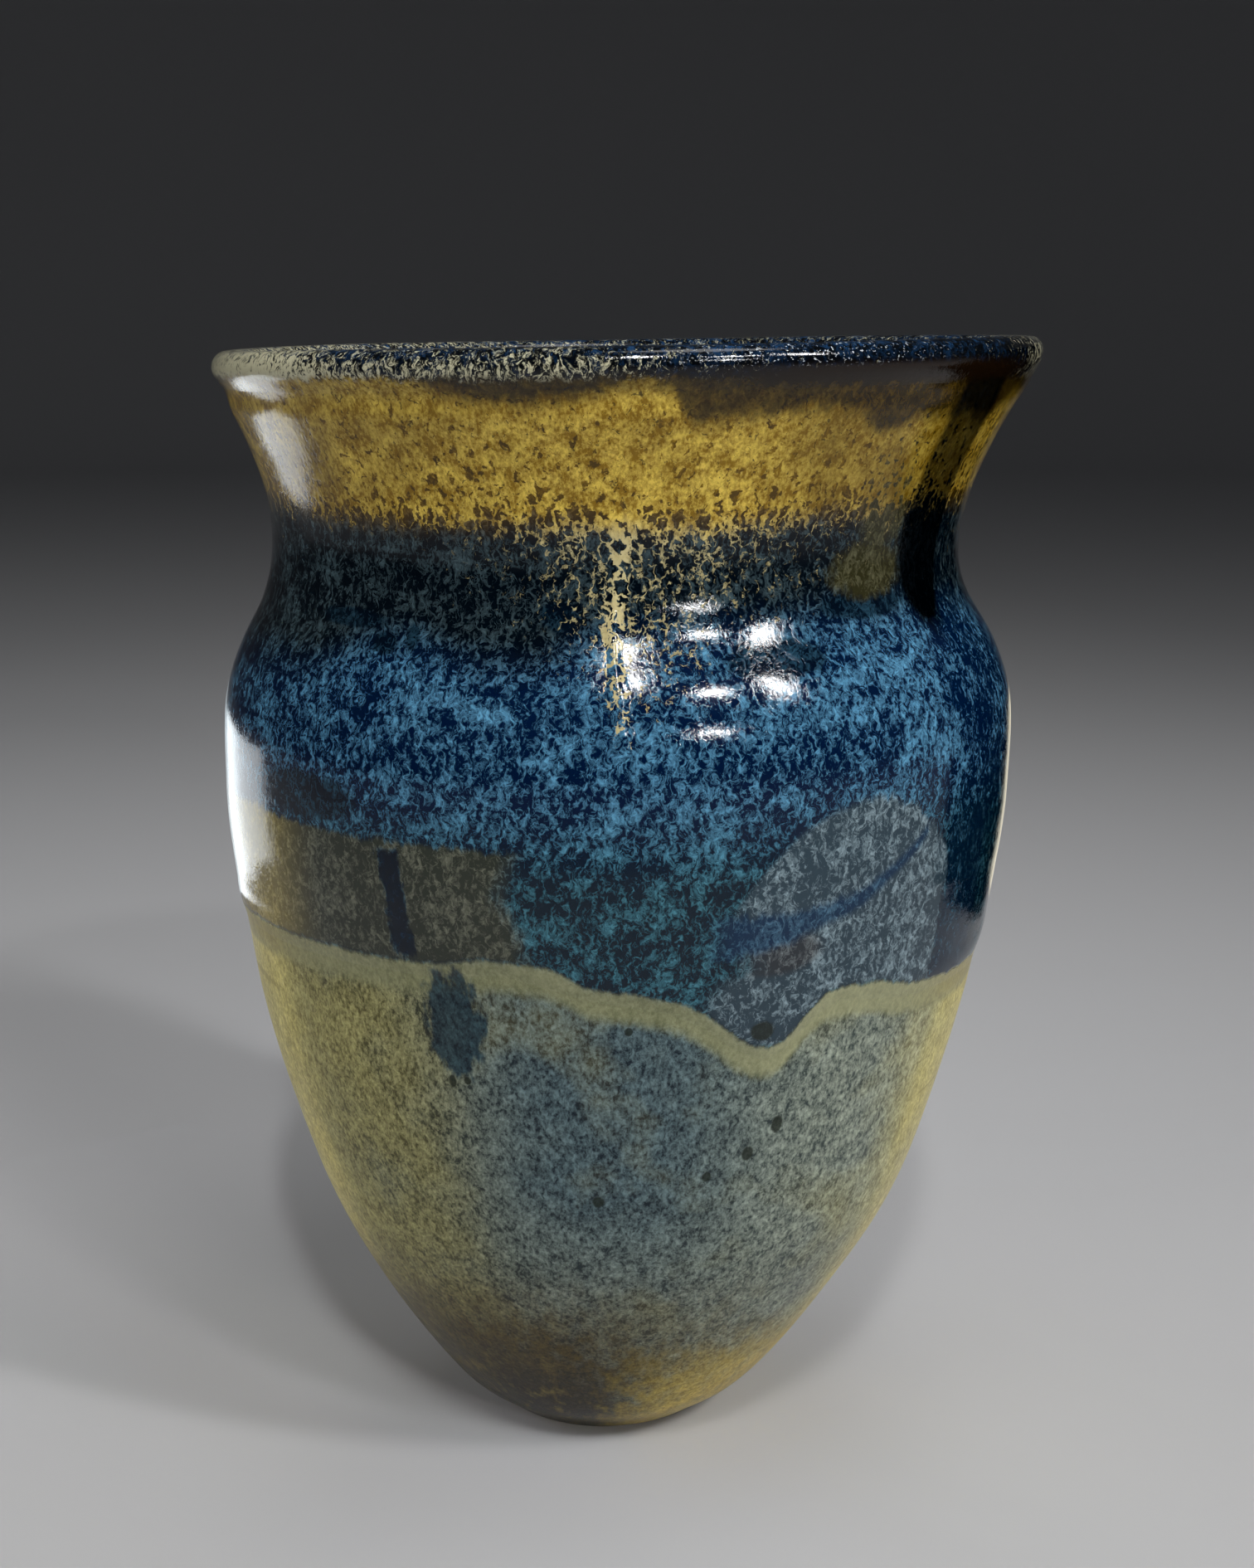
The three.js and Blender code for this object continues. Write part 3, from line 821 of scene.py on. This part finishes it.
def liner_material():
    """Amber-brown glaze of the inside, mottled cream near the mouth."""
    material, g, shader = new_material("liner_glaze")
    place, _, wall = g.coordinates()
    tall = stretched(g, place, 3)
    ragged = g.noise(tall, 3, 4, 0.65)
    grain = g.noise(place, 0.9, 4, 0.7)
    slow = g.noise(place, 22, 3)
    colour = g.mix(linear((96, 74, 34)), linear((150, 124, 66)), grain + slow * 2 + 0.5)
    mottle = (ragged + slow * 0.5).step(0.08, 0.25) * 0.6 * wall.step(320, 262)
    colour = g.mix(colour, linear((176, 164, 128)), mottle)
    colour = g.mix(colour, linear((60, 46, 22)), wall.step(380, 470) * 0.6 + slow)
    g.feed(shader.inputs["Base Color"], colour)
    g.feed(shader.inputs["Roughness"], grain.abs() * 0.3 + 0.12)
    bump = g.node("ShaderNodeBump")
    bump.inputs["Distance"].default_value = GLAZE_BUMP
    g.feed(bump.inputs["Height"], grain * 0.2 + ragged * 0.3)
    material.node_tree.links.new(bump.outputs["Normal"], shader.inputs["Normal"])
    shader.inputs["Coat Weight"].default_value = 0.4
    shader.inputs["Coat Roughness"].default_value = 0.05
    return material


def clay_material():
    """Bare fired stoneware: buff, gritty, with iron specks and turning marks."""
    material, g, shader = new_material("bare_stoneware")
    place, _, _ = g.coordinates()
    grit = g.noise(place, 0.5, 4, 0.7)
    tone = g.noise(place, 9, 3)
    specks = g.noise(place, 0.9, 2, 0.5).step(0.17, 0.24)
    split = g.node("ShaderNodeSeparateXYZ")
    g.feed(split.inputs[0], place)
    x, y = Field(g, split.outputs["X"]) + FOOT_OFF_AXIS, Field(g, split.outputs["Y"])
    radius = g.power(x * x + y * y, 0.5)
    marks = g.math("SINE", radius * 4 + tone * 6)
    colour = g.mix(linear((196, 172, 130)), linear((228, 208, 168)), grit * 1.5 + tone + 0.5)
    colour = g.mix(colour, linear((84, 56, 34)), specks * 0.7)
    g.feed(shader.inputs["Base Color"], colour)
    g.feed(shader.inputs["Roughness"], grit * 0.3 + 0.82)
    bump = g.node("ShaderNodeBump")
    bump.inputs["Distance"].default_value = CLAY_BUMP
    g.feed(bump.inputs["Height"], grit * 0.5 + marks * 0.12)
    material.node_tree.links.new(bump.outputs["Normal"], shader.inputs["Normal"])
    return material


# ---------------------------------------------------------------------------------------------
# The pieces
# ---------------------------------------------------------------------------------------------

BORDER_BELOW_LAP = 3  # the two outer coats meet in the pale halo under the lap line
piece_border = lap_height(ROUND) - BORDER_BELOW_LAP
foot_edge = BARE_CLAY_TO + 0.25 * np.sin(np.radians(ROUND) * 3 + 1)
foot_edge = foot_edge + 0.12 * np.sin(np.radians(ROUND) * 11)
group = glaze_group()

PIECES = [  # (piece, the CAD node that it stands for, the record's slot, its material)
    (clay_piece(), "clay_body", "clay", clay_material()),
    (liner_piece(), "liner_glaze", "liner_glaze", liner_material()),
    (coat("lower_glaze", foot_edge, piece_border, 1.1, GLAZE_DEPTH), "base_glaze", "base_glaze",
     glaze_material("lower_glaze", group, SATIN_REFLECTION)),
    (coat("blue_coat", piece_border, np.full(COLUMNS, OCHRE_FROM), 1.0, GLAZE_DEPTH),
     "blue_glaze", "blue_glaze", glaze_material("blue_coat", group, GLOSSY_REFLECTION)),
    (coat("ochre_flare", np.full(COLUMNS, OCHRE_FROM), np.full(COLUMNS, RIM_FROM), 0.8, GLAZE_DEPTH),
     "ochre_glaze", "ochre_glaze", glaze_material("ochre_flare", group, GLOSSY_REFLECTION)),
    (coat("lip_glaze", np.full(COLUMNS, RIM_FROM), np.full(COLUMNS, LINER_FROM), 0.4, GLAZE_DEPTH),
     "rim_glaze", "rim_glaze", glaze_material("lip_glaze", group, GLOSSY_REFLECTION)),
    (run_piece(), "glaze_run", "cream_glaze", glaze_material("cream_run", group, GLOSSY_REFLECTION)),
]
for piece, node, slot, material in PIECES:
    piece.data.materials.append(material)
    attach(piece, "root")
    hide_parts(node)

# ---------------------------------------------------------------------------------------------
# Floor, light and camera
# ---------------------------------------------------------------------------------------------


def studio_floor():
    """A pale floor that curves up all round into a wall, far outside the vase."""
    middle, flat, bend, top, sides = 0.4, 3.4, 1.6, 5.0, 128
    arc = np.radians(np.linspace(0, 90, 17))
    section = [(middle, 0), *zip(flat + bend * np.sin(arc), bend - bend * np.cos(arc)), (flat + bend, top)]
    turn = np.linspace(0, 2 * math.pi, sides, endpoint=False)
    points = [(r * math.cos(t), r * math.sin(t), z) for r, z in section for t in turn]
    faces = [tuple(range(sides))]
    for ring in range(len(section) - 1):
        for i in range(sides):
            a, b = ring * sides + i, ring * sides + (i + 1) % sides
            faces.append((a, a + sides, b + sides, b))
    mesh = bpy.data.meshes.new("studio_floor")
    mesh.from_pydata(points, [], faces)
    mesh.shade_smooth()
    made = bpy.data.objects.new("studio_floor", mesh)
    bpy.context.scene.collection.objects.link(made)
    material, _, shader = new_material("studio_floor")
    shader.inputs["Base Color"].default_value = (0.5, 0.5, 0.51, 1)
    shader.inputs["Roughness"].default_value = 0.8
    shader.inputs["Specular IOR Level"].default_value = 0
    mesh.materials.append(material)


VASE_MIDDLE = Vector((0, 0, 0.16))
WIDEST_SPREAD = 179  # degrees; the formula below has no value at 180


def soft_box(name, azimuth, elevation, size, radiance, distance=1.5, colour=(1, 1, 1), aim=VASE_MIDDLE,
             spread=180):
    """A studio lamp in a direction from the vase. Azimuth 0 is the front and +90 the right."""
    turn, rise = math.radians(azimuth), math.radians(elevation)
    away = Vector((math.sin(turn) * math.cos(rise), -math.cos(turn) * math.cos(rise), math.sin(rise)))
    data = bpy.data.lights.new(name, "AREA")
    data.shape = "RECTANGLE"
    data.size, data.size_y = size
    half = math.radians(min(spread, WIDEST_SPREAD)) / 2
    # How much a narrow spread brightens the middle of the beam.
    narrowing = math.tan(half) / (math.tan(half) - half)
    data.energy = radiance / narrowing * math.pi * size[0] * size[1]
    data.color = colour
    data.spread = math.radians(spread)
    lamp = bpy.data.objects.new(name, data)
    lamp.location = aim + away * distance
    lamp.rotation_euler = (-away).to_track_quat("-Z", "Y").to_euler()
    lamp.visible_camera = False
    bpy.context.scene.collection.objects.link(lamp)
    return lamp


def flag():
    """A black card at the back right, seen only as the dark reflection on that side of the neck."""
    across, tall, away, lift = 0.16, 0.3, 0.36, 0.005
    turn = math.radians(120)
    middle = Vector((math.sin(turn), -math.cos(turn), 0)) * away
    side = Vector((math.cos(turn), math.sin(turn), 0)) * across
    points = [middle - side, middle + side, middle + side + Vector((0, 0, tall)),
              middle - side + Vector((0, 0, tall))]
    mesh = bpy.data.meshes.new("flag")
    mesh.from_pydata([point + Vector((0, 0, lift)) for point in points], [], [(0, 1, 2, 3)])
    made = bpy.data.objects.new("flag", mesh)
    bpy.context.scene.collection.objects.link(made)
    material, _, shader = new_material("flag")
    shader.inputs["Base Color"].default_value = (0, 0, 0, 1)
    shader.inputs["Specular IOR Level"].default_value = 0
    mesh.materials.append(material)
    made.visible_camera = made.visible_diffuse = made.visible_shadow = False


def studio():
    world = bpy.data.worlds.new("studio")
    world.use_nodes = True
    background = world.node_tree.nodes["Background"]
    background.inputs["Color"].default_value = (0.5, 0.52, 0.55, 1)
    background.inputs["Strength"].default_value = 0.1
    bpy.context.scene.world = world
    # Lamps: name, azimuth, elevation, size in metres, radiance.
    # The key is a group of small lamps, whose reflections stand for the broken ring on the shoulder.
    soft_box("key_high", 29, 38, (0.16, 0.07), 140, spread=70)
    soft_box("key_side", 51, 38, (0.08, 0.3), 130, spread=70)
    soft_box("key_low", 25, 19, (0.16, 0.05), 160, spread=70)
    soft_box("key_front", 2, 46, (0.06, 0.24), 165, spread=70)
    # Wide lamps that fill the shadows, kept out of the reflections.
    soft_box("fill_left", -55, 25, (1.2, 1.2), 0.9).visible_glossy = False
    soft_box("fill_back", 180, 50, (0.6, 0.6), 2.2, spread=70).visible_glossy = False
    soft_box("side_left", -105, 12, (0.8, 0.8), 3.0, spread=100).visible_glossy = False
    soft_box("side_right", 105, 12, (0.8, 0.8), 1.8, spread=100).visible_glossy = False
    # Cards that show only as reflections along the edges of the vase.
    for name, azimuth, elevation, size, radiance, colour in (
        ("left_card", -146, -13, (0.24, 0.1), 0.6, (0.8, 0.93, 1)),
        ("right_card", 155, -13, (0.16, 0.1), 0.8, (1, 0.9, 0.62)),
    ):
        soft_box(name, azimuth, elevation, size, radiance, 0.45, colour).visible_diffuse = False
    flare_card = soft_box("flare_card", -129, -24, (0.3, 0.16), 2.4, 0.5, (0.9, 0.96, 1),
                          Vector((0, 0, 0.23)))
    flare_card.visible_diffuse = False
    flag()
    soft_box("top", 60, 78, (0.5, 0.5), 4)
    bpy.context.scene.view_settings.view_transform = "Standard"


# The camera, fitted to the vase's outline in the photo: millimetres, metres and degrees.
LENS, SENSOR_WIDTH = 47.62, 36
CAMERA_PLACE = (-0.00233, -0.4681, 0.2531)
CAMERA_DOWN, CAMERA_TURN = 12.448, -0.326


def camera():
    data = bpy.data.cameras.new("camera")
    data.lens = LENS
    data.sensor_width = SENSOR_WIDTH
    data.sensor_fit = "AUTO"
    made = bpy.data.objects.new("camera", data)
    made.location = CAMERA_PLACE
    made.rotation_euler = (math.radians(90 - CAMERA_DOWN), 0, math.radians(CAMERA_TURN))
    bpy.context.scene.collection.objects.link(made)
    bpy.context.scene.camera = made


studio_floor()
studio()
camera()
